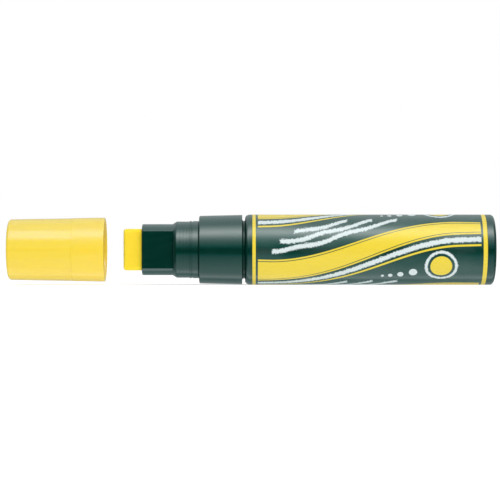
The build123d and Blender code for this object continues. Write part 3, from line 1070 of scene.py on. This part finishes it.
# The other pieces inside the marker keep the drawing's own shape
slotOf = {row["node"]: row["material_slot"] for row in frame["record"]["subparts"]}
inside = ["nib_carrier", "valve_body", "seat_washer", "valve_stem", "spring_cage", "mixing_ball"]
for node in inside:
    data = frame["nodes"][node].data
    data.materials.clear()
    data.materials.append(materials[slotOf[node]])
print("inner pieces finished:", len(inside))

# Floor, light and camera
studio = {
    "floorSize": 12.0, "floorColour": 0.6, "floorRough": 0.9, "floorGlow": 0.65, "floorShown": 0.56,
    # soft light from all round, more from above, below and the ends
    "fill": 0.55, "fillTilt": 0.78, "fillEnds": 0.1,
    # place, size and power of the two softboxes in front
    "boxes": [((0.1, -0.6, 0.8), 0.4, 2.7), ((0.14, -0.95, 0.12), 0.15, 3.5)],
    # what gloss sees past the nib end and the tail end, in front and behind
    "nibEnd": (0.0, 0.2), "tailEnd": (0.05, 0.3), "endDepth": (-0.4, 0.15),
    "endFrom": 0.48, "endTo": 0.9, "endRed": 0.6,
    # what gloss sees round the marker's axis: degrees up from the front, brightness
    "surround": [
        (-180, 0.55), (-149, 0.6), (-130, 0.8), (-116, 0.85), (-105, 2.6), (-94, 1.9), (-84, 1.6),
        (-67, 1.6), (-52, 1.38), (-44, 1.24), (-30, 0.95), (-23, 0.82), (-16, 0.45), (-11, 0.0),
        (3, 0.0), (10, 0.6), (17, 0.95), (24, 1.35), (31, 1.85), (38, 2.8), (45, 4.5), (53, 6.8),
        (60, 8.0), (68, 6.5), (77, 4.2), (86, 2.6), (95, 1.8), (117, 1.55), (132, 1.3), (152, 0.8),
        (180, 0.55),
    ],
    "redLoss": 0.48, "redLossFrom": 80, "redLossTo": 172,
    "camera": (-0.00034, -0.8, -0.00013), "fieldOfView": 12.916, "clip": (0.01, 50.0),
}


def seenDirectly(tree):
    path = addNode(tree, "ShaderNodeLightPath").outputs
    return calc(tree, "MAXIMUM", path["Is Camera Ray"], path["Is Transmission Ray"])


def makeFloor(s):
    mesh = bmesh.new()
    half = s["floorSize"] / 2
    corners = ((-half, -half, 0), (half, -half, 0), (half, half, 0), (-half, half, 0))
    mesh.faces.new([mesh.verts.new(corner) for corner in corners])
    material, tree, shader, _ = newMaterial("paleFloor")
    shown = s["floorShown"] - s["floorGlow"]
    feedAll(tree, shader, {
        "Base Color": opaque((s["floorColour"],) * 3),
        "Roughness": s["floorRough"],
        "Specular IOR Level": 0.0,
        "Emission Color": (1, 1, 1, 1),
        "Emission Strength": calc(tree, "MULTIPLY_ADD", seenDirectly(tree), shown, s["floorGlow"]),
    })
    floor = asObject("floor", mesh, material)
    floor.visible_glossy = False


def makeWorld(s):
    world = bpy.data.worlds.new("studio")
    scene.world = world
    world.use_nodes = True
    world.cycles.sampling_method = "NONE"
    tree = world.node_tree
    do = partial(calc, tree)
    x, y, z = partsOf(tree, addNode(tree, "ShaderNodeTexCoord").outputs["Generated"])
    climb = do("ARCTAN2", z, do("MULTIPLY", y, -1.0))
    ramp = addNode(tree, "ShaderNodeValToRGB", {
        "Fac": remap(tree, climb, -math.pi, math.pi, 0.0, 1.0),
    })
    stops = ramp.color_ramp.elements
    for angle, level in s["surround"][1:-1]:
        stops.new((angle + 180) / 360)
    top = max(level for angle, level in s["surround"])
    for stop, (angle, level) in zip(stops, s["surround"]):
        # the dim parts of the room are green, so they give back less red
        fade = (s["redLossTo"] - abs(angle)) / (s["redLossTo"] - s["redLossFrom"])
        red = max(0.0, level - s["redLoss"] * min(1.0, max(0.0, fade)))
        stop.color = (red / top, level / top, level / top, 1.0)
    surround = addNode(tree, "ShaderNodeVectorMath", {0: ramp, "Scale": top}, operation="SCALE")
    for side, levels in ((-1.0, s["nibEnd"]), (1.0, s["tailEnd"])):
        toEnd = remap(tree, do("MULTIPLY", x, side), s["endFrom"], s["endTo"], 0.0, 1.0, True)
        end = remap(tree, y, *s["endDepth"], *levels, True)
        tinted = vectorOf(tree, do("MULTIPLY", end, s["endRed"]), end, end)
        surround = blendColour(tree, toEnd, surround, tinted)
    tilt = do("SUBTRACT", do("MULTIPLY", z, z), do("MULTIPLY", y, y))
    fill = do("MULTIPLY_ADD", tilt, s["fillTilt"], s["fill"])
    fill = do("MULTIPLY_ADD", do("MULTIPLY", x, x), s["fillEnds"], fill)
    fill = do("MAXIMUM", fill, 0.0)
    glossy = addNode(tree, "ShaderNodeLightPath").outputs["Is Glossy Ray"]
    light = blendColour(tree, glossy, fill, surround)
    shown = blendColour(tree, seenDirectly(tree), light, (1, 1, 1, 1))
    feed(tree, tree.nodes["Background"].inputs["Color"], shown)


def makeSoftboxes(s):
    for place, size, power in s["boxes"]:
        lamp = bpy.data.lights.new("softbox", "AREA")
        lamp.size = size
        lamp.energy = power
        box = addObject("softbox", lamp)
        box.location = place
        box.rotation_euler = (-Vector(place)).to_track_quat("-Z", "Y").to_euler()
        box.visible_glossy = False
        box.visible_camera = False


def makeCamera(s):
    lens = bpy.data.cameras.new("camera")
    lens.sensor_fit = "HORIZONTAL"
    lens.angle = math.radians(s["fieldOfView"])
    lens.clip_start, lens.clip_end = s["clip"]
    camera = addObject("camera", lens)
    x, y, lift = s["camera"]
    camera.location = (x, y, lie["axisHeight"] + lift)
    camera.rotation_euler = (math.pi / 2, 0, 0)
    scene.camera = camera


makeFloor(studio)
makeWorld(studio)
makeSoftboxes(studio)
makeCamera(studio)
scene.view_settings.view_transform = "Standard"
print("studio set")
